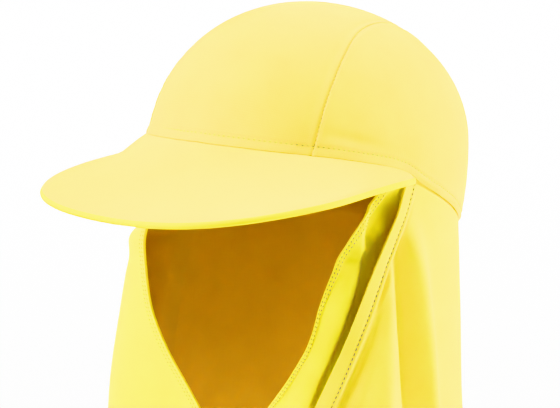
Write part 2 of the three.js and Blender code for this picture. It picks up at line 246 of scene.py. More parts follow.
# Angle over the top from the front, then how far out the panel seam lies
SEAM_ROWS = [(0, 0.67), (22, 0.695), (50, 0.667), (70, 0.605), (90, 0.51), (115, 0.42), (180, 0.38)]
# Drop, width, centre, front, back, and how square the front is
DRAPE_ROWS = [
    (-0.25, 0.87, 0.0, 1.0, 1.0, 2.0),
    (-0.03, 0.87, 0.0, 0.99, 1.0, 2.05),
    (0.16, 0.92, -0.06, 0.845, 1.0, 2.6),
    (0.43, 0.97, -0.165, 0.66, 1.085, 3.5),
    (0.7, 1.0, -0.26, 0.56, 1.18, 4.6),
    (1.02, 1.04, -0.26, 0.59, 1.18, 4.4),
]
# How far along half of the face opening, then its drop and its half width
FACE_ROWS = [
    (0, -0.16, 0.955), (0.12, 0.0, 0.945), (0.26, 0.16, 0.885), (0.4, 0.34, 0.795), (0.52, 0.49, 0.715),
    (0.64, 0.63, 0.57), (0.75, 0.75, 0.4), (0.86, 0.86, 0.24), (0.95, 0.96, 0.09), (1, 1.0, 0.0),
]
# Drop, then the angles of the flap's front edge and of the chin panel's rolled fold
FRONT_EDGE_ROWS = [
    (-0.25, 90, 66), (0.02, 76, 63.5), (0.11, 69.2, 61.5), (0.2, 63.7, 60.5),
    (0.36, 57.2, 56.5), (0.6, 49, 49), (1.02, 35, 37),
]

# %% [markdown]
# ## Smooth curves from short tables
#
# A dressmaker marks a few points on the cloth and draws a fair curve through them. The next helper
# does the same: it runs a smooth curve through one column of a table. Blender's own curves could do
# it too, but a function can be asked for any place at once while a mesh is being shaped.

# %% Define the curve helpers


def follow(rows, column, x):
    """The value of a table's column at the place x in its first column, on a smooth curve."""
    last = len(rows) - 1
    i = 0
    while i < last - 1 and x > rows[i + 1][0]:
        i += 1

    def slope(k):
        before = rows[max(k - 1, 0)]
        after = rows[min(k + 1, last)]
        return (after[column] - before[column]) / (after[0] - before[0])

    start, end = rows[i], rows[i + 1]
    span = end[0] - start[0]
    t = min(max((x - start[0]) / span, 0), 1)
    value = start[column] + (3 - 2 * t) * t * t * (end[column] - start[column])
    return value + t * (1 - t) * span * ((1 - t) * slope(i) - t * slope(i + 1))


def lerp(a, b, t):
    return a + (b - a) * t


def ease(t):
    """Rises from 0 to 1 with soft ends."""
    t = min(max(t, 0), 1)
    return t * t * (3 - 2 * t)


def bump(x, middle, half_width):
    """A soft hill of height 1 about a middle."""
    return math.exp(-(((x - middle) / half_width) ** 2))


print("Crown edge at the ear:", round(EDGE_FRONT * follow(EDGE_ROWS, 1, 90) / MM, 1), "mm")

# %% [markdown]
# ## The crown as a surface
#
# The crown is part of an egg-shaped dome, drawn in a little towards its edge. Every place on it is
# given by an angle round the head and an elevation, and an offset lifts a place off the dome. The
# panels' seams run over the top in lanes, so the middle panel is a strip between two lanes, and each
# side panel fills what is left between a lane and the edge.

# %% Define the crown's surface
LANE_CROWDING = 0.5


def edge_height(angle):
    turned = abs((angle + 180) % 360 - 180)
    return EDGE_FRONT * follow(EDGE_ROWS, 1, turned)


def crown_length(angle):
    """Half of the crown's length, towards its front or its back."""
    return CROWN_FRONT_LENGTH if math.cos(math.radians(angle)) > 0 else CROWN_BACK_LENGTH


def dome_point(angle, elevation, offset=0.0):
    level = math.cos(math.radians(elevation))
    rise = math.sin(math.radians(elevation))
    radius = level if elevation >= 0 else 1 - DOME_TUCK_IN * (1 - level)
    lean = DOME_LEAN * rise * rise if elevation >= 0 else 0
    return Vector((
        (CROWN_HALF_WIDTH + offset) * radius * math.sin(math.radians(angle)),
        -(crown_length(angle) + offset) * radius * math.cos(math.radians(angle)) - lean,
        DOME_CENTRE + (DOME_RISE + offset) * rise,
    ))


def elevation_at(height, offset=0.0):
    share = (height - DOME_CENTRE) / (DOME_RISE + offset)
    return math.degrees(math.asin(min(max(share, -1), 1)))


def lane_place(side, over):
    """Angle and elevation of a lane over the top; side is -1 and 1 at the seams."""
    across = side * follow(SEAM_ROWS, 1, over)
    around = math.sqrt(1 - across * across)
    turned = math.radians(min(over, 180))
    angle = math.degrees(math.atan2(across, around * math.cos(turned)))
    if over > 180:
        return angle, 180 - over
    return angle, math.degrees(math.asin(around * math.sin(turned)))


@functools.lru_cache(maxsize=None)
def lane_ends(side):
    over = 0.0
    for _ in range(12):
        edge = math.radians(elevation_at(edge_height(lane_place(side, over)[0])))
        across = side * follow(SEAM_ROWS, 1, over)
        over = math.degrees(math.asin(math.sin(edge) / math.sqrt(1 - across * across)))
    return over, 180 - elevation_at(edge_height(lane_place(side, 180)[0]))


def lane_step(side, along):
    """Degrees over the top at a share of the lane's way, in steps that are shorter over the top."""
    share = along + LANE_CROWDING * math.sin(2 * math.pi * along) / (2 * math.pi)
    return lerp(*lane_ends(round(side, 6)), share)


print("Seam lane from", [round(x, 1) for x in lane_ends(1.0)], "degrees over the top")

# %% [markdown]
# ## The drape as a surface
#
# Below the crown's edge the cloth hangs free. Level sections through it are ovals, and in front they
# are squared off, because the chin panel pulls flat across. The flap and the chin panel both hang
# along this surface, each with an offset of its own, and near the top they blend into the crown.

# %% Define the drape's surface


def drape_point(turn, height, offset=0.0):
    drop = -height / FLAP_DROP
    width = follow(DRAPE_ROWS, 1, drop) * DRAPE_HALF_WIDTH
    centre = follow(DRAPE_ROWS, 2, drop) * DRAPE_HALF_LENGTH
    sine = math.sin(math.radians(turn))
    cosine = math.cos(math.radians(turn))
    reach = follow(DRAPE_ROWS, 3 if cosine > 0 else 4, drop) * DRAPE_HALF_LENGTH
    power = follow(DRAPE_ROWS, 5, drop) if cosine > 0 else 2
    total = abs(cosine / reach) ** power + abs(sine / width) ** power
    radius = total ** (-1 / power) + offset
    return Vector((radius * sine, centre - radius * cosine, height))


def crown_angle(turn):
    """The dome's angle in a direction round the drape."""
    x = math.sin(math.radians(turn)) / CROWN_HALF_WIDTH
    y = math.cos(math.radians(turn)) / crown_length(turn)
    return math.degrees(math.atan2(x, y))


def edge_above(turn):
    return edge_height(crown_angle(turn))


def hung_point(turn, height, offset, layer):
    """A cloth hung from inside the crown's edge: held there by the crown, and free below it.

    The outer layer comes out flush under the edge from the peak's end to behind the wearer's left ear.
    """
    angle = crown_angle(turn)
    edge = edge_height(angle)
    behind = ease((abs(angle) - PEAK_END_ANGLE) / EDGE_FREE_TURN)
    flush = behind * ease((edge - height) / FLUSH_DROP) if layer <= LAYER_GAP else 0
    flush *= 1 - ease((turn - FLUSH_END_TURN) / FLUSH_FADE)
    inside = lerp(-CROWN_CLOTH - layer, FLUSH_OFFSET, flush)
    held = dome_point(angle, elevation_at(max(height, edge), inside), inside)
    held.z = height
    free = drape_point(turn, height, offset)
    start = lerp(PEAK_THICKNESS + SEAT_GAP, SEAT_GAP, behind)
    drop = lerp(PEAK_HANG_DROP, EDGE_HANG_DROP, behind)
    return held.lerp(free, ease((edge - start - height) / drop))


def arc_degrees(length):
    return math.degrees(length / DRAPE_HALF_WIDTH)


def front_turn(height):
    return follow(FRONT_EDGE_ROWS, 1, -height / FLAP_DROP)


def roll_turn(height):
    return follow(FRONT_EDGE_ROWS, 2, -height / FLAP_DROP)


SEAM_TURN = arc_degrees(SEAM_LAP) - 90
print("Flap front edge at the hem:", round(front_turn(-FLAP_DROP), 1), "degrees from the front")

# %% [markdown]
# ## From a flat grid to a piece of cloth
#
# Every panel starts as a flat grid, as cloth does, and each of its points is then moved to its place.
# The grid keeps a UV map in metres of cloth, so that the knit runs along the panel and has one size on
# all of them. Solidify gives the cloth its thickness, and a small Bevel rounds the cut edges, which
# would otherwise catch the light as hard lines.

# %% Define the cloth helpers


def share_steps(count):
    return [i / count for i in range(count + 1)]


def fine_steps(total, fine_length, fine_step, coarse_step):
    """Shares of a length, close together over its first part and wider apart after it."""
    fine_length = min(fine_length, total)
    fine = max(round(fine_length / fine_step), 1)
    coarse = max(round((total - fine_length) / coarse_step), 1)
    steps = [fine_length * i / fine for i in range(fine)]
    steps += [lerp(fine_length, total, i / coarse) for i in range(coarse + 1)]
    return [step / total for step in steps]


def cloth_grid(columns, rows, place, size):
    """A grid with a point at each share in columns and rows, moved by place(u, v)."""
    bm = bmesh.new()
    bmesh.ops.create_grid(bm, x_segments=len(columns) - 1, y_segments=len(rows) - 1, size=0.5)
    uv = bm.loops.layers.uv.new("cloth")
    shares = {}
    for vert in bm.verts:
        u = columns[round((vert.co.x + 0.5) * (len(columns) - 1))]
        v = rows[round((vert.co.y + 0.5) * (len(rows) - 1))]
        shares[vert] = (u, v)
        vert.co = place(u, v)
    for face in bm.faces:
        face.smooth = True
        for loop in face.loops:
            u, v = shares[loop.vert]
            loop[uv].uv = (u * size[0], v * size[1])
    bmesh.ops.remove_doubles(bm, verts=bm.verts, dist=0.02 * MM)
    return bm


def finish_piece(name, bm, materials, thickness=0.0, rim=0.0, outwards=None):
    """Turns a bmesh into a piece of the cap that rides on it."""
    if outwards is not None:
        lean = sum(face.normal.dot(outwards(face.calc_center_median())) * face.calc_area()
                   for face in bm.faces)
        if lean < 0:
            bmesh.ops.reverse_faces(bm, faces=bm.faces)
    mesh = bpy.data.meshes.new(name)
    bm.to_mesh(mesh)
    bm.free()
    for material in materials:
        mesh.materials.append(material)
    piece = bpy.data.objects.new(name, mesh)
    bpy.context.collection.objects.link(piece)
    if thickness:
        solidify = piece.modifiers.new("thickness", "SOLIDIFY")
        solidify.thickness = thickness
        solidify.offset = -1
        solidify.material_offset = len(materials) - 1
    if rim:
        bevel = piece.modifiers.new("round_rim", "BEVEL")
        bevel.width = rim
        bevel.segments = 3
        bevel.limit_method = "ANGLE"
        bevel.angle_limit = math.radians(60)
    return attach(piece, "root")


def from_axis(place):
    """Outwards from the middle of the head."""
    return Vector((place.x, place.y, place.z - DOME_CENTRE if place.z > DOME_CENTRE else 0))


def cloth_area(piece):
    """The piece's area on one face, in square metres."""
    return sum(polygon.area for polygon in piece.data.polygons)


print("100 mm of cloth, 10 mm of it fine:", len(fine_steps(100 * MM, 10 * MM, 1 * MM, 5 * MM)), "rows")

# %% [markdown]
# ## The knit
#
# Swim cloth is a fine warp knit: very narrow ribs run along it, crossed by even finer courses. It is
# thin, so some light comes through, and its filaments give a faint sheen when seen along the surface.
# The inside of the cap and the peak's rim get darker, duller knits of their own. They are painted shade:
# the same cloth as it looks where it lies in shade.
# A picture of cloth could be wrapped on, but two wave textures on the cloth's own UV map stay sharp at
# every distance. A large, weak noise keeps the colour from being even, as dye never is.

# %% Define the materials
RIB_PITCH = 0.9 * MM
COURSE_PITCH = 0.7 * MM
# A wave texture of scale 1 repeats every pi / 10 metres
WAVE_UNIT = math.pi / 10
KNIT_ROUGHNESS = 0.75
# The colour of the light that comes through the cloth
AMBER = (0.9, 0.4, 0.005)
# The thread's dark olive is painted shade of the dimples and needle holes it lies in; its strands vary at
# random between these two colours.
THREAD_SHADED_DARK = (0.2, 0.14, 0.012, 1)
THREAD_SHADED_LIGHT = (0.32, 0.23, 0.02, 1)


def add_node(tree, kind, **values):
    node = tree.nodes.new(kind)
    for key, value in values.items():
        setattr(node, key, value)
    return node


def knit_waves(tree, place):
    """The height of the knit: ribs one way and courses the other."""
    waves = []
    for direction, pitch in (("X", RIB_PITCH), ("Y", COURSE_PITCH)):
        wave = add_node(tree, "ShaderNodeTexWave", wave_type="BANDS", bands_direction=direction)
        wave.inputs["Scale"].default_value = WAVE_UNIT / pitch
        wave.inputs["Distortion"].default_value = 0.6
        wave.inputs["Detail Scale"].default_value = 0.4
        tree.links.new(place, wave.inputs["Vector"])
        waves.append(wave.outputs["Fac"])
    height = add_node(tree, "ShaderNodeMath", operation="MULTIPLY")
    tree.links.new(waves[0], height.inputs[0])
    tree.links.new(waves[1], height.inputs[1])
    return height.outputs[0]


def knit(name, colour, deep_colour, through, sheen=0.3):
    """A knit whose gaps are painted a little darker than its ribs, as painted shade; through is the share
    of light let through.
    """
    material = bpy.data.materials.new(name)
    material.use_nodes = True
    tree = material.node_tree
    shader = tree.nodes["Principled BSDF"]
    output = tree.nodes["Material Output"]
    cloth = add_node(tree, "ShaderNodeUVMap", uv_map="cloth").outputs["UV"]
    place = add_node(tree, "ShaderNodeTexCoord").outputs["Object"]

    dye = add_node(tree, "ShaderNodeTexNoise")
    dye.inputs["Scale"].default_value = 45
    dye.inputs["Detail"].default_value = 4
    tree.links.new(place, dye.inputs["Vector"])
    height = knit_waves(tree, cloth)

    # Painted shade in the knit's gaps, mixed with the dye's uneven tone, picks the colour
    gap_shade_and_dye = add_node(tree, "ShaderNodeMath", operation="MULTIPLY_ADD")
    gap_shade_and_dye.inputs[1].default_value = 0.35
    tree.links.new(height, gap_shade_and_dye.inputs[0])
    tree.links.new(dye.outputs["Fac"], gap_shade_and_dye.inputs[2])
    ramp = add_node(tree, "ShaderNodeValToRGB")
    ramp.color_ramp.elements[0].position = 0.3
    ramp.color_ramp.elements[0].color = (*deep_colour, 1)
    ramp.color_ramp.elements[1].position = 0.75
    ramp.color_ramp.elements[1].color = (*colour, 1)
    tree.links.new(gap_shade_and_dye.outputs[0], ramp.inputs["Fac"])
    tree.links.new(ramp.outputs["Color"], shader.inputs["Base Color"])

    relief = add_node(tree, "ShaderNodeBump")
    relief.inputs["Strength"].default_value = 0.35
    relief.inputs["Distance"].default_value = 0.08 * MM
    tree.links.new(height, relief.inputs["Height"])
    tree.links.new(relief.outputs["Normal"], shader.inputs["Normal"])
    shader.inputs["Roughness"].default_value = KNIT_ROUGHNESS
    shader.inputs["Specular IOR Level"].default_value = 0.25
    shader.inputs["Sheen Weight"].default_value = sheen
    shader.inputs["Sheen Roughness"].default_value = 0.5
    shader.inputs["Sheen Tint"].default_value = (1, 0.95, 0.62, 1)

    if through:
        translucent = add_node(tree, "ShaderNodeBsdfTranslucent")
        translucent.inputs["Color"].default_value = (*AMBER, 1)
        tree.links.new(relief.outputs["Normal"], translucent.inputs["Normal"])
        mix = add_node(tree, "ShaderNodeMixShader")
        mix.inputs["Fac"].default_value = through
        tree.links.new(shader.outputs["BSDF"], mix.inputs[1])
        tree.links.new(translucent.outputs["BSDF"], mix.inputs[2])
        tree.links.new(mix.outputs["Shader"], output.inputs["Surface"])
    return material


# The crown, peak, flap and chin panel are one cloth. Their slightly different yellows are painted light,
# each tuned to how brightly that part is lit: the chin panel lightest, the crown and peak most orange.
crown_knit = knit("crown_knit", (0.98, 0.82, 0.1), (0.96, 0.78, 0.07), 0.1)
peak_knit = knit("peak_knit", (0.98, 0.82, 0.1), (0.96, 0.79, 0.08), 0)
# The peak's rim is the same cloth, painted darker and without sheen: painted shade on the rim, which faces
# down.
rim_painted_shade_knit = knit("rim_painted_shade_knit", (0.8, 0.71, 0.03), (0.76, 0.67, 0.02), 0, sheen=0)
flap_knit = knit("flap_knit", (0.98, 0.85, 0.09), (0.96, 0.81, 0.06), 0.1)
chin_knit = knit("chin_knit", (0.98, 0.9, 0.05), (0.95, 0.85, 0.03), 0.12)
# The inside is the same yellow cloth, painted dark orange-brown: painted shade of the cap's shaded inside.
inner_painted_shade_knit = knit("inner_painted_shade_knit", (0.5, 0.285, 0.016), (0.44, 0.25, 0.012), 0.12, sheen=0)


def thread_material():
    material = bpy.data.materials.new("sewing_thread_painted_shade")
    material.use_nodes = True
    tree = material.node_tree
    shader = tree.nodes["Principled BSDF"]
    place = add_node(tree, "ShaderNodeTexCoord").outputs["Object"]
    strands = add_node(tree, "ShaderNodeTexNoise")
    strands.inputs["Scale"].default_value = 2500
    tree.links.new(place, strands.inputs["Vector"])
    ramp = add_node(tree, "ShaderNodeValToRGB")
    ramp.color_ramp.elements[0].color = THREAD_SHADED_DARK
    ramp.color_ramp.elements[1].color = THREAD_SHADED_LIGHT
    tree.links.new(strands.outputs["Fac"], ramp.inputs["Fac"])
    tree.links.new(ramp.outputs["Color"], shader.inputs["Base Color"])
    shader.inputs["Roughness"].default_value = 0.55
    shader.inputs["Sheen Weight"].default_value = 0.2
    return material


thread = thread_material()
knits = (crown_knit, peak_knit, rim_painted_shade_knit, flap_knit, chin_knit, inner_painted_shade_knit)
print("Materials:", [material.name for material in (*knits, thread)])

# %% [markdown]
# ## Rows of stitches
#
# A lockstitch shows as a row of short threads, each lying in a shallow dimple. One long tube would
# look like a cord, so each stitch is a small rounded bead of thread of its own, stretched along the
# row. All the stitches of a row are one mesh, because nobody moves them one by one.

# %% Define the stitches


def walk(points, pitch, start=0.0):
    """Places and directions at even distances along a row of points."""
    found = []
    gone, wanted = 0.0, start
    for a, b in zip(points, points[1:]):
        step = (b - a).length
        while step > 0 and wanted <= gone + step:
            found.append((a.lerp(b, (wanted - gone) / step), (b - a).normalized()))
            wanted += pitch
        gone += step
    return found


def add_stitches(bm, points, length, gap, radius, slant):
    """Beads of thread along a row; a slant turns each of them a little out of the row's direction."""
    made = walk(points, length + gap, (length + gap) / 2)
    for centre, along in made:
        turned = along.to_track_quat("X", "Z").to_matrix().to_4x4()
        size = Matrix.Diagonal((length / 2, radius, radius, 1))
        tilt = Matrix.Rotation(slant, 4, "Z")
        bmesh.ops.create_uvsphere(bm, u_segments=6, v_segments=4, radius=1,
                                  matrix=Matrix.Translation(centre) @ turned @ tilt @ size
                                  @ Matrix.Rotation(math.pi / 2, 4, "Y"))
    return len(made)


def stitch_piece(name, rows, length, gap, radius, slant=0.0):
    bm = bmesh.new()
    count = sum(add_stitches(bm, points, length, gap, radius, slant) for points in rows)
    for face in bm.faces:
        face.smooth = True
    piece = finish_piece(name, bm, [thread])
    print(name, "has", count, "stitches")
    return piece


print("A row of 30 mm with a stitch every 3 mm has",
      len(walk([Vector((0, 0, 0)), Vector((30 * MM, 0, 0))], 3 * MM, 1.5 * MM)), "stitches")

# %% [markdown]
# ## The crown's three panels
#
# Each panel is cut from the knit and sewn to the next from inside, so the seam shows as a fine groove
# with the cloth swelling a little beside it. The lower edge is turned up and stitched down 5.5 mm from
# the fold. In front it runs out softly over the peak's root, and most of all on the wearer's right,
# where the cloth is pulled smooth. A crease lies over the left temple. All this could be sculpted by
# hand. Here it is drawn into the surface as small offsets, by the distance from the seam and the edge.
# The middle panel's edges lie under the side panels', so that no light shows through the seams.

# %% Name the crown's small shapes
SEAM_DIP = 0.55 * MM
SEAM_WIDTH = 0.9 * MM
SEAM_SINK = -0.6 * MM
SEAM_RISE = 0.35 * MM
SEAM_RISE_PLACE = 3.4 * MM
SEAM_RISE_WIDTH = 2.4 * MM
SEAM_THREAD_LIFT = 0.3 * MM
PUCKER_DEPTH = 0.1 * MM
PUCKER_RATE = 190
PUCKER_PLACE = 3 * MM
PUCKER_WIDTH = 4 * MM
HEM_DEPTH = 5.5 * MM
# Distance above the edge, half width and rise of the hem's roll, its stitched dimple, and the swell above
HEM_PROFILE = [
    (HEM_DEPTH / 2, 2.1 * MM, 0.35 * MM),
    (HEM_DEPTH, 0.8 * MM, -0.4 * MM),
    (HEM_DEPTH + 2.5 * MM, 1.6 * MM, 0.15 * MM),
]
EDGE_DRAW = 0.8 * MM
EDGE_DRAW_REACH = 2 * MM
PEAK_ROOT_FLARE = 0.8 * MM
FLARE_REACH = 2.5 * MM
FLARE_TURN = 12
# The part of the front that is pulled smooth: its middle and half width in degrees, and what it does
SMOOTH_ANGLE = -50
SMOOTH_SPREAD = 30
SMOOTH_FLARE = 0.6 * MM
SMOOTH_REACH = 6 * MM
SMOOTH_HEM_FADE = 0.85
SMOOTH_HEM_SPREAD = 32
TEMPLE_ANGLE = 66
TEMPLE_HEM_FADE = 0.5
TEMPLE_HEM_SPREAD = 18
EDGE_RIPPLE = 0.4
EDGE_RIPPLES_PER_TURN = 21
CREASE_DEPTH = 1.3 * MM
CREASE_ANGLE = 60
CREASE_SPREAD = 10
CREASE_HEIGHT = 14 * MM
CREASE_SLOPE = 0.12 * MM
CREASE_SLOPE_START = 45
CREASE_WIDTH = 3.6 * MM
NAPE_START = 172
NAPE_TURN = 8
NAPE_LAP = 0.025
NAPE_SINK = 0.5 * MM
NAPE_SINK_REACH = 0.7 * MM
LANE_HALF_WIDTH = 53 * MM
DOME_MEAN = 91 * MM
print("Hem stitched", round(HEM_DEPTH / MM, 1), "mm above the crown's edge")

# %% Draw the crown's relief


def seam_offset(distance, along, rise):
    """The groove at a seam, with the cloth beside it drawn into faint puckers."""
    groove = -SEAM_DIP * bump(distance, 0, SEAM_WIDTH)
    swell = rise * bump(distance, SEAM_RISE_PLACE, SEAM_RISE_WIDTH)
    pucker = PUCKER_DEPTH * math.sin(along * PUCKER_RATE) * bump(distance, PUCKER_PLACE, PUCKER_WIDTH)
    return groove + swell + pucker


def hem_offset(distance):
    """The turned hem: a soft roll at the edge, and the dimple of the stitch row above it."""
    return sum(rise * bump(distance, middle, half_width) for middle, half_width, rise in HEM_PROFILE)


def root_flare(angle):
    """How far the crown runs out at the peak's root: more on the right, where it is pulled smooth."""
    return PEAK_ROOT_FLARE + SMOOTH_FLARE * bump(angle, SMOOTH_ANGLE, SMOOTH_SPREAD)


def edge_flare(angle, distance):
    """The crown's edge runs out softly into the peak, and past its ends it is drawn down to the flap."""
    turned = abs((angle + 180) % 360 - 180)
    past = ease((turned - PEAK_END_ANGLE) / FLARE_TURN + 0.5)
    ripple = 1 + EDGE_RIPPLE * math.sin(math.radians(turned) * EDGE_RIPPLES_PER_TURN)
    drawn = EDGE_DRAW * past * ripple * bump(distance, 0, EDGE_DRAW_REACH)
    reach = lerp(FLARE_REACH, SMOOTH_REACH, bump(angle, SMOOTH_ANGLE, SMOOTH_SPREAD))
    return root_flare(angle) * (1 - past) * bump(distance, 0, reach) - drawn


def crown_relief(angle, elevation, seam_distance, along, rise):
    """All the small offsets of the crown's cloth at one place."""
    edge = elevation_at(edge_height(angle))
    distance = math.radians(elevation - edge) * DOME_MEAN
    crease_height = CREASE_HEIGHT - (angle - CREASE_SLOPE_START) * CREASE_SLOPE
    crease = -CREASE_DEPTH * bump(distance, crease_height, CREASE_WIDTH)
    crease *= bump(angle, CREASE_ANGLE, CREASE_SPREAD) if angle > 0 else 0
    hem = hem_offset(distance) * (1 - SMOOTH_HEM_FADE * bump(angle, SMOOTH_ANGLE, SMOOTH_HEM_SPREAD))
    hem *= 1 - TEMPLE_HEM_FADE * bump(angle, TEMPLE_ANGLE, TEMPLE_HEM_SPREAD)
    return seam_offset(seam_distance, along, rise) + hem + edge_flare(angle, distance) + crease


def centre_place(u, v):
    """Behind the top, the panel's edges run on a little under the side panels."""
    side = 1 - 2 * v
    over = lane_step(side, u)
    tucked = ease((over - NAPE_START) / NAPE_TURN)
    angle, elevation = lane_place(side * (1 + NAPE_LAP * tucked), over)
    distance = (1 - abs(side)) * LANE_HALF_WIDTH
    sunk = NAPE_SINK * tucked * bump(distance, 0, NAPE_SINK_REACH)
    return dome_point(angle, elevation, crown_relief(angle, elevation, distance, u, SEAM_SINK) - sunk)


def side_place(side):
    """A side panel ends where its seam turns straight down to the nape, so its last column is that seam."""
    nape_angle = lane_place(side, 180)[0]

    def place(u, v):
        over = lane_step(side, u)
        if over > 180:
            over, u = 180, 1
        angle, top = lane_place(side, over)
        edge = elevation_at(edge_height(angle))
        elevation = lerp(top, edge, v)
        distance = math.radians(min(top - elevation, abs(angle - nape_angle))) * DOME_MEAN
        return dome_point(angle, elevation, crown_relief(angle, elevation, distance, u, SEAM_RISE))
    return place


def both_ends_fine(total, fine_length, fine_step, coarse_step):
    """Shares of a length, close together at both of its ends."""
    half = fine_steps(total / 2, fine_length, fine_step, coarse_step)
    return [s / 2 for s in half] + [1 - s / 2 for s in reversed(half[:-1])]


left_seam = centre_place(0.5, 0)
print("Left seam at the top, in mm:", [round(x / MM, 1) for x in left_seam])

# %% Make the crown panels
CROWN_OVER = 290 * MM
SIDE_DOWN = 95 * MM
over_steps = both_ends_fine(CROWN_OVER, 12 * MM, 0.8 * MM, 2.6 * MM)
lane_steps = both_ends_fine(2 * LANE_HALF_WIDTH, 6 * MM, 0.5 * MM, 2.4 * MM)
down_steps = both_ends_fine(SIDE_DOWN, 10 * MM, 0.6 * MM, 2.4 * MM)

bm = cloth_grid(over_steps, lane_steps, centre_place, (CROWN_OVER, 2 * LANE_HALF_WIDTH))
crown_middle = finish_piece("crown_middle", bm, [crown_knit, inner_painted_shade_knit], CROWN_CLOTH, 0.8 * MM, from_axis)
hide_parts("crown_centre")
crown_sides = []
for side, node in ((1, "crown_left"), (-1, "crown_right")):
    bm = cloth_grid(over_steps, down_steps, side_place(side), (CROWN_OVER, SIDE_DOWN))
    panel = finish_piece(node + "_panel", bm, [crown_knit, inner_painted_shade_knit], CROWN_CLOTH, 0.8 * MM, from_axis)
    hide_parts(node)
    crown_sides.append(panel)
for panel in (crown_middle, *crown_sides):
    print(panel.name, "area", round(cloth_area(panel), 4), "m2")

# %% Stitch the crown's hem and seams


def crown_row(distance, lift):
    """A row round the crown at a distance above its edge."""
    points = []
    for i in range(721):
        angle = i / 2
        elevation = elevation_at(edge_height(angle)) + math.degrees(distance / DOME_MEAN)
        points.append(dome_point(angle, elevation, lift + hem_offset(distance)))
    return points


def seam_row(side):
    """A row in the groove between two panels, over the top from front to nape."""
    points = []
    for i in range(601):
        angle, elevation = lane_place(side, lane_step(side, i / 600))
        points.append(dome_point(angle, elevation, SEAM_THREAD_LIFT - SEAM_DIP))
    return points


crown_stitches = stitch_piece("crown_hem_stitches", [crown_row(HEM_DEPTH, 0.12 * MM)],
                              1.8 * MM, 1.2 * MM, 0.3 * MM)
seam_stitches = stitch_piece("crown_seam_stitches", [seam_row(1), seam_row(-1)],
                             1.6 * MM, 0.9 * MM, 0.3 * MM)

# %% [markdown]
# ## The peak
#
# A stiff board lies between two cloth covers, and the covers wrap round its edge in a soft roll. The
# peak bends down towards its tip and follows the crown's edge at its root, where its top dips a little
# on the wearer's right. It could be a flat plate, bent and bevelled, but its edge would then be hard to
# keep even. It is one closed form instead: a grid whose rows run out along the top, round the edge and
# back underneath, closed into a tube, with its two pointed ends filled. A darker, duller knit covers the
# rim and the outer part of the underside: painted shade, because they face down, away from the light.

# %% Shape the peak
EDGE_ROLL = 7 * MM
EDGE_ROLL_DROP = 0.8 * MM
ROOT_HOLLOW = 2.4 * MM
ROOT_TUCK = 0.15 * MM
ROOT_SINK = 0.1 * MM
ROOT_LIFT = 0.5 * MM
HOLLOW_SPREAD = 22
HOLLOW_OUT = 0.3
# Shares of the way round the peak's section at which its top ends and its underside starts
TOP_END, UNDER_START = 0.44, 0.6
NEAR_END = 0.72


def peak_outer(along):
    """The peak's rim, from -1 at its right end to 1 at its left end."""
    turn = math.radians(90 * along)
    power = 2 / PEAK_CORNERING
    sine = abs(math.sin(turn)) ** power
    near_end = ease((abs(along) - NEAR_END) / (1 - NEAR_END))
    x = math.copysign(lerp(PEAK_HALF_WIDTH * sine, CROWN_HALF_WIDTH + PEAK_END_OVERHANG, near_end), along)
    back = CROWN_FRONT_LENGTH * math.cos(math.radians(PEAK_END_ANGLE))
    reach = CROWN_FRONT_LENGTH + PEAK_REACH
    y = -(back + (reach - back) * max(math.cos(turn), 0) ** power)
    tip = EDGE_FRONT - PEAK_TIP_DROP
    return Vector((x, y, lerp(tip, PEAK_SIDE_HEIGHT, abs(x / PEAK_HALF_WIDTH) ** PEAK_RIM_CURVE)))


def peak_place(u, v):
    """u runs from one end to the other, v out over the top, round the edge and back."""
    along = 2 * u - 1
    angle = PEAK_END_ANGLE * along
    height = edge_height(angle)
    root = dome_point(angle, elevation_at(height), root_flare(angle) - ROOT_TUCK)
    root.z = height - ROOT_SINK + ROOT_LIFT * bump(angle, SMOOTH_ANGLE, HOLLOW_SPREAD)
    outer = peak_outer(along)
    radius = PEAK_THICKNESS / 2
    reach = max((outer - root).length, 3 * radius)
    edge_share = radius / reach
    if v <= TOP_END:
        out, drop = (1 - edge_share) * v / TOP_END, 0.0
    elif v < UNDER_START:
        turned = math.pi * (v - TOP_END) / (UNDER_START - TOP_END)
        out = 1 - edge_share + edge_share * math.sin(turned)
        drop = (1 - math.cos(turned)) / 2
    else:
        out, drop = (1 - edge_share) * (1 - v) / (1 - UNDER_START), 1.0
    place = root.lerp(outer, out)
    dip = PEAK_DIP * 4 * out * (1 - out) * math.cos(math.radians(angle))
    hollow = ease(out / HOLLOW_OUT) * bump(out, HOLLOW_OUT, HOLLOW_OUT)
    dip += ROOT_HOLLOW * hollow * bump(angle, SMOOTH_ANGLE, HOLLOW_SPREAD)
    from_rim = (1 - out) * reach
    roll = -EDGE_ROLL_DROP * bump(from_rim, 0, EDGE_ROLL) * (1 - drop)
    place.z += roll - dip - drop * PEAK_THICKNESS
    return place


print("Peak's tip in mm:", [round(x / MM, 1) for x in peak_outer(0)])

# %% Make the peak
peak_columns = share_steps(150)
peak_rows = [TOP_END * s for s in both_ends_fine(80 * MM, 10 * MM, 1 * MM, 2.5 * MM)]
peak_rows += [lerp(TOP_END, UNDER_START, i / 12) for i in range(1, 12)]
peak_rows += [lerp(UNDER_START, 1.0, s) for s in share_steps(26)]
PEAK_ROUND = 300 * MM
PEAK_COVER = 170 * MM
RIM_START, RIM_END = 0.445, 0.7
bm = cloth_grid(peak_columns, peak_rows, peak_place, (PEAK_ROUND, PEAK_COVER))
bmesh.ops.remove_doubles(bm, verts=bm.verts, dist=0.05 * MM)
rim = [edge for edge in bm.edges if edge.is_boundary]
bmesh.ops.holes_fill(bm, edges=rim, sides=0)
bmesh.ops.recalc_face_normals(bm, faces=bm.faces)
uv = bm.loops.layers.uv["cloth"]
for face in bm.faces:
    face.smooth = True
    along_rim = [loop[uv].uv.y / PEAK_COVER for loop in face.loops]
    if min(along_rim) > RIM_START and max(along_rim) < RIM_END:
        face.material_index = 1
peak_cover = finish_piece("peak_cover", bm, [peak_knit, rim_painted_shade_knit])
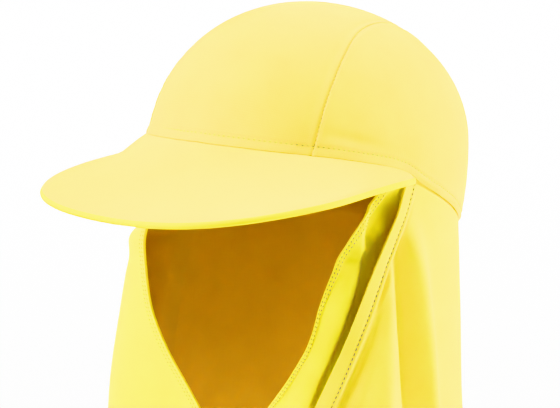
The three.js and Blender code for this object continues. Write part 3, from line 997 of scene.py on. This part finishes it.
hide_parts("peak")
print("Peak:", len(peak_cover.data.polygons), "faces")

# %% [markdown]
# ## The neck flap
#
# The flap is one length of cloth that hangs from the crown's edge, from the wearer's left temple round
# the back to a seam on the right. Its front edge is a folded hem 11 mm wide, which lies up on the cloth
# and rolls like a tube lower down. Beside it the cloth falls back into a deep fold, then comes out in
# a ridge. Cloth simulation finds folds of its own, but not these, so the folds are drawn in. They start
# beyond the hem, whose doubled cloth is stiffer and hangs straight.

# %% Draw the flap's hem and folds
FLAP_ROUND = 440 * MM
# Angle at top and bottom, half width in degrees, depth, and the drop at which it is full
FLAP_FOLDS = [
    (69, 78, 4, 3.5 * MM, 0.3), (71, 100, 4.2, -5 * MM, 0.2), (80, 106, 5.5, 5.5 * MM, 0.25),
    (71, 100, 4.6, -8 * MM, 0.8), (80, 106, 6, 2.2 * MM, 0.6),
    (140, 136, 12, 2 * MM, 0.9), (160, 152, 12, -3 * MM, 0.9), (185, 188, 13, 3 * MM, 0.9),
    (214, 220, 12, -3 * MM, 0.9), (245, 250, 10, 2 * MM, 0.9),
]
HEM_RISE = 2.2 * MM
HEM_SHADOW = -7 * MM
HEM_ROW = 3.2 * MM
HEM_TUBE = 4 * MM
HEM_DIMPLE = 0.7 * MM
# Shares of the hem's width: where its inner fold ends, how wide that fold is, and half of the tube
HEM_FOLD_END = 1.03
HEM_FOLD_SHARE = 0.08
TUBE_HALF_SHARE = 0.56
HEM_CLEARANCE = 4 * MM
TUBE_START = 0.4
TUBE_TURN = 0.3
SHADOW_PLACE = FLAP_HEM_WIDTH + 5 * MM
SHADOW_START = 0.22
SHADOW_TURN = 0.35
# The part of the flap's way down that is tucked up behind the crown's edge
HELD_SHARE = 0.05
FLAP_FINE = 16 * MM
FLAP_EVEN_OUT = 60 * MM


def hem_strip_offset(from_edge, drop):
    """The front hem's rise over the flap, by the distance from the front edge."""
    across = from_edge / FLAP_HEM_WIDTH
    flat = ease((HEM_FOLD_END - across) / HEM_FOLD_SHARE)
    tube = math.sqrt(max(1 - ((across - 0.5) / TUBE_HALF_SHARE) ** 2, 0))
    round_share = ease((drop - TUBE_START) / TUBE_TURN)
    dimple = -HEM_DIMPLE * bump(from_edge, FLAP_HEM_WIDTH - HEM_ROW, 0.8 * MM) * (1 - round_share)
    return flat * (HEM_RISE * (1 - 0.7 * round_share) + dimple) + tube * HEM_TUBE * round_share


def flap_offset(turn, height):
    """How far the flap stands off the drape: its folds, the shadow beside the hem, and the hem."""
    drop = -height / FLAP_DROP
    from_edge = math.radians(turn - front_turn(height)) * DRAPE_HALF_WIDTH
    beyond_hem = ease((from_edge - FLAP_HEM_WIDTH) / HEM_CLEARANCE)
    offset = 0.0
    for top, bottom, spread, depth, full in FLAP_FOLDS:
        offset += beyond_hem * depth * ease(drop / full) * bump(turn, lerp(top, bottom, drop), spread)
    beside = HEM_SHADOW * ease((drop - SHADOW_START) / SHADOW_TURN) * bump(from_edge, SHADOW_PLACE, 4 * MM)
    return offset + beside + hem_strip_offset(from_edge, drop)


def hung_height(edge, down):
    """Height of one of the flap's rows: the first few are tucked up behind the crown's edge."""
    if down < HELD_SHARE:
        return lerp(edge + TUCK, edge - SEAT_GAP, down / HELD_SHARE)
    return lerp(edge - SEAT_GAP, -FLAP_DROP, (down - HELD_SHARE) / (1 - HELD_SHARE))


def flap_place(u, v):
    """Near the front edge the columns keep their distance from it, and further on they even out."""
    turn = lerp(front_turn(0), 360 + SEAM_TURN, u)
    from_front = u * FLAP_ROUND
    for _ in range(4):
        height = hung_height(edge_above(turn), v)
        start = front_turn(height)
        near = start + arc_degrees(from_front)
        far = lerp(start, 360 + SEAM_TURN, u)
        turn = lerp(near, far, ease((from_front - FLAP_FINE) / FLAP_EVEN_OUT))
    return hung_point(turn, height, flap_offset(turn, height), LAYER_GAP)


print("The flap has", len(FLAP_FOLDS), "folds and a hem", round(FLAP_HEM_WIDTH / MM), "mm wide")

# %% Make the flap
flap_columns = fine_steps(FLAP_ROUND, FLAP_FINE, 0.55 * MM, 2.4 * MM)
flap_rows = [HELD_SHARE * s for s in share_steps(4)[:-1]]
flap_rows += [lerp(HELD_SHARE, 1, s) for s in fine_steps(FLAP_DROP, 6 * MM, 0.75 * MM, 2.4 * MM)]
bm = cloth_grid(flap_columns, flap_rows, flap_place, (FLAP_ROUND, FLAP_DROP + TUCK))
neck_flap = finish_piece("neck_flap", bm, [flap_knit, inner_painted_shade_knit], FLAP_CLOTH, 0.65 * MM, from_axis)
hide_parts("flap")
print("Flap:", len(neck_flap.data.polygons), "faces, area", round(cloth_area(neck_flap), 4), "m2")

# %% Stitch the flap's front hem
FLAP_ROW_TOP = 20 * MM
FLAP_ROW_END = -0.6 * FLAP_DROP
FLAP_THREAD_LIFT = 0.22 * MM


def flap_row(from_edge, lift):
    """A row at a distance from the front edge, from under the crown down to where the hem is a tube."""
    points = []
    for i in range(301):
        height = lerp(FLAP_ROW_TOP, FLAP_ROW_END, i / 300)
        turn = front_turn(height) + arc_degrees(from_edge)
        if height < edge_above(turn) - SEAT_GAP:
            points.append(hung_point(turn, height, flap_offset(turn, height) + lift, LAYER_GAP - lift))
    return points


flap_stitches = stitch_piece("flap_hem_stitches",
                             [flap_row(FLAP_HEM_WIDTH - HEM_ROW, FLAP_THREAD_LIFT)],
                             2.1 * MM, 0.8 * MM, 0.4 * MM)

# %% [markdown]
# ## The chin panel
#
# The inner front piece closes the flap under the chin. Its upper edge is the V of the face opening,
# turned under and covered by two rows of stitches. On the wearer's right it is sewn under the flap, on
# the left it rolls inwards into a long fold and disappears behind the flap's front hem. Two flat halves
# joined at the chin would crease there, so it is one grid. It runs from the opening's edge outwards,
# with its first rows close together, where the hem is.

# %% Place the chin panel's edges
CHIN_ROUND = 420 * MM
CHIN_DEPTH = 90 * MM
CHIN_LAYER = 2 * LAYER_GAP + FLAP_CLOTH
# The share of the panel's outer edge that runs down each side
SIDE_SHARE = 0.3
# The opening's edge stays inside the drape's side
WIDEST_SHARE = 0.995


def face_place(along):
    """Turn and height of the opening's edge, from the wearer's right round the chin to the left."""
    side = math.copysign(1, along - 0.5)
    share = 1 - abs(2 * along - 1)
    height = -FACE_DROP * follow(FACE_ROWS, 1, share)
    x = FACE_HALF_WIDTH * follow(FACE_ROWS, 2, share)
    drop = -height / FLAP_DROP
    width = follow(DRAPE_ROWS, 1, drop) * DRAPE_HALF_WIDTH
    front = follow(DRAPE_ROWS, 3, drop) * DRAPE_HALF_LENGTH
    square = follow(DRAPE_ROWS, 5, drop)
    bounded = min(x / (width - CHIN_INSET), WIDEST_SHARE)
    y = (front - CHIN_INSET) * (1 - bounded ** square) ** (1 / square)
    return side * math.degrees(math.atan2(x, y)), height


def lap_turn(height):
    return front_turn(height) + arc_degrees(CHIN_LAP)


def chin_outer_place(along):
    """Turn and height of the outer edge: down the right side, along the bottom and up the left side."""
    if along < SIDE_SHARE:
        return -90, lerp(edge_above(-90) + TUCK, -FLAP_DROP, along / SIDE_SHARE)
    if along < 1 - SIDE_SHARE:
        across = (along - SIDE_SHARE) / (1 - 2 * SIDE_SHARE)
        return lerp(-90, lap_turn(-FLAP_DROP), across), -FLAP_DROP
    height = lerp(edge_above(lap_turn(0)) + TUCK, -FLAP_DROP, (1 - along) / SIDE_SHARE)
    return lap_turn(height), height


print("The opening is lowest", round(-face_place(0.5)[1] / MM), "mm below the ears")

# %% Draw the chin panel's relief
SWELL_TURN = -66
SWELL_SPREAD = 15
SWELL_DROP = 60 * MM
SEAM_FREE_START = 2
SEAM_FREE_TURN = 12
ROLL_TURN = 3
ROLL_TOP_SHARE = 0.75
ROLL_START = 10 * MM
ROLL_FULL = 40 * MM
BAND_LIFT = 3 * MM
BAND_START = 25 * MM
BAND_TURN = 4.5
BAND_SPREAD = 4
CHIN_HEM_AT_EARS = 4.2 * MM
CHIN_HEM_AT_CHIN = 6.5 * MM
CHIN_HEM_RISE = 1.3 * MM
CHIN_DIMPLE = 0.35 * MM
# How far back from the hem's outer side each row of stitches lies
CHIN_ROWS = (0.9 * MM, 3.2 * MM)
WAVE_HEIGHT = 1.17 * MM
WAVES_PER_DEGREE = 0.09
WAVES_PER_METRE = 55
WAVE_SLICE = 3.1
# Turn and height of a crumple's middle, its half width in degrees and its half height, and its rise
CHIN_CRUMPLES = [
    (56, -31 * MM, 4.5, 4.5 * MM, -3.5 * MM), (63, -26 * MM, 4, 4.5 * MM, 3.5 * MM),
    (70, -17 * MM, 3.5, 5 * MM, 3.2 * MM), (50, -60 * MM, 6, 6 * MM, -1.6 * MM),
    (43, -82 * MM, 6, 7 * MM, 1.4 * MM), (47, -98 * MM, 7, 7 * MM, -1.6 * MM),
    (36, -112 * MM, 7, 8 * MM, 1.5 * MM), (-64, -14 * MM, 3, 4 * MM, -1.6 * MM),
    (-68, -37 * MM, 13, 9 * MM, 7.5 * MM),
]


def chin_offset(turn, height):
    """How far the panel stands off the drape.

    It swells at the right cheek, and on the left it rolls in, with a band that lifts beside the roll.
    """
    down = ease(-height / SWELL_DROP)
    clear_of_seam = ease((turn - SEAM_TURN - SEAM_FREE_START) / SEAM_FREE_TURN)
    swell = CHEEK_SWELL * down * clear_of_seam * bump(turn, SWELL_TURN, SWELL_SPREAD)
    rolled = ROLL_DEPTH * ease((turn - roll_turn(height)) / ROLL_TURN + 0.5)
    rolled *= lerp(ROLL_TOP_SHARE, 1, ease((-height - ROLL_START) / ROLL_FULL))
    lift = BAND_LIFT * bump(turn, roll_turn(height) - BAND_TURN, BAND_SPREAD)
    lift *= ease((-height - BAND_START) / BAND_START)
    return swell + lift - CHIN_INSET - rolled


def chin_hem_width(along):
    """The hem widens from the ears to the chin."""
    return lerp(CHIN_HEM_AT_EARS, CHIN_HEM_AT_CHIN, 1 - abs(2 * along - 1))


def chin_relief(along, distance, turn, height):
    """The raised hem with a dimple under each row of stitches, soft waves, and the crumples."""
    hem = chin_hem_width(along)
    raised = CHIN_HEM_RISE * ease((hem - distance) / (0.5 * MM) + 0.5)
    dimples = -CHIN_DIMPLE * sum(bump(distance, hem - back, 0.5 * MM) for back in CHIN_ROWS)
    wave_place = Vector((turn * WAVES_PER_DEGREE, height * WAVES_PER_METRE, WAVE_SLICE))
    soft = noise.noise(wave_place) * WAVE_HEIGHT
    soft *= ease((distance - hem) / (6 * MM)) * ease((turn + 10) / 25)
    for place, level, spread, tall, rise in CHIN_CRUMPLES:
        soft += rise * bump(turn, place, spread) * bump(height, level, tall)
    return raised + dimples + soft


print("The chin panel has", len(CHIN_CRUMPLES), "crumples")

# %% Make the chin panel
CHIN_FINE = 9 * MM
FINE_ROWS = 18
ROW_COUNT = 52


def between_edges(u, v):
    """Turn and height at a share v of the way from the opening's edge to the outer edge."""
    inner = face_place(u)
    outer = chin_outer_place(u)
    return lerp(inner[0], outer[0], v), lerp(inner[1], outer[1], v)


def chin_place(u, v, distance, lift=0.0):
    """A place on the panel, whose distance from the opening's edge is known; a lift raises thread on it."""
    turn, height = between_edges(u, v)
    offset = chin_offset(turn, height) + chin_relief(u, distance, turn, height) + lift
    return hung_point(turn, height, offset, CHIN_LAYER - lift)


@functools.lru_cache(maxsize=None)
def chin_length(u):
    """How far it is from the opening's edge to the outer edge, along one column."""
    points = [hung_point(*between_edges(u, share), -CHIN_INSET, CHIN_LAYER) for share in share_steps(8)]
    return sum((b - a).length for a, b in zip(points, points[1:]))


def chin_grid_place(u, v):
    """The first rows of a column are at fixed distances from the opening's edge."""
    row = round(v * ROW_COUNT)
    total = chin_length(u)
    fine = min(CHIN_FINE, total * 0.5)
    if row <= FINE_ROWS:
        distance = fine * row / FINE_ROWS
    else:
        distance = lerp(fine, total, (row - FINE_ROWS) / (ROW_COUNT - FINE_ROWS))
    return chin_place(u, distance / total, distance)


bm = cloth_grid(share_steps(220), share_steps(ROW_COUNT), chin_grid_place, (CHIN_ROUND, CHIN_DEPTH))
chin_cloth = finish_piece("chin_cloth", bm, [chin_knit, inner_painted_shade_knit], FLAP_CLOTH, 0.65 * MM, from_axis)
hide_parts("chin_panel")
print("Chin panel:", len(chin_cloth.data.polygons), "faces, area", round(cloth_area(chin_cloth), 4), "m2")

# %% Stitch the chin panel's hem
CHIN_THREAD_LIFT = 0.12 * MM


def chin_row(back):
    """A row at a distance back from the hem's outer side, towards the opening."""
    points = []
    for i in range(601):
        u = lerp(0.02, 0.98, i / 600)
        distance = chin_hem_width(u) - back
        points.append(chin_place(u, distance / chin_length(round(u, 6)), distance, CHIN_THREAD_LIFT))
    return points


chin_stitches = stitch_piece("chin_hem_stitches", [chin_row(back) for back in CHIN_ROWS],
                             1.5 * MM, 1.0 * MM, 0.34 * MM, slant=math.radians(28))

# %% [markdown]
# ## The cloth pieces
#
# The side panels' areas are worked out from the surfaces made above: a panel's flat area is the area of
# its mesh, because this knit hardly stretches when the cap stands in its worn shape. Then the cloth
# pieces are named.

for panel in crown_sides:
    round(cloth_area(panel), 4)

print("Cloths:", [cloth.name for cloth in (neck_flap, chin_cloth, crown_middle, *crown_sides)])
